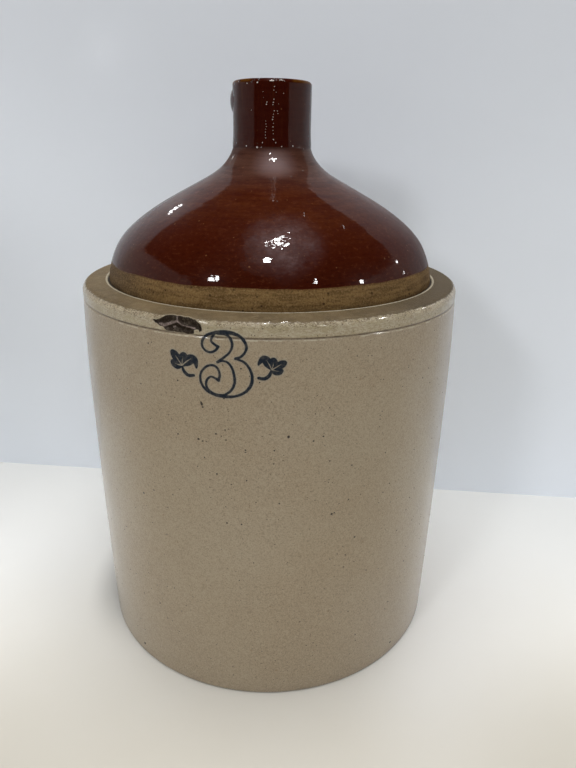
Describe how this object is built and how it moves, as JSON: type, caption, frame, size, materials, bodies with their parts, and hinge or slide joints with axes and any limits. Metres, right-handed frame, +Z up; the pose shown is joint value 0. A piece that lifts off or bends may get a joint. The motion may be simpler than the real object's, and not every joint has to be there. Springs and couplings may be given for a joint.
{
  "type": "stoneware shoulder jug",
  "caption": "Tall stoneware jug: straight cream crock with a flat ledge, a domed brown top luted into it, a short corked neck and a strap handle behind.",
  "frame": {"origin": "centre of the foot, on the surface that the jug stands on", "axes": "+Z up along the jug's axis and out of the mouth; -Y towards the front, which carries the capacity mark; the handle is behind, ten degrees from +Y towards -X"},
  "size_m": [0.2628, 0.2628, 0.387],
  "materials": {
    "cream_glaze": "semi-gloss cream glaze with a fine orange-peel grain over stoneware",
    "brown_glaze": "glossy deep red-brown slip glaze, thin and amber at the lip",
    "fired_slip": "matte dark fired slip"
  },
  "bodies": {
    "root": {"crock_body": "cream_glaze", "dome_top": "brown_glaze", "neck": "brown_glaze", "handle": "brown_glaze", "joint_slip": "fired_slip"}
  },
  "joints": []
}
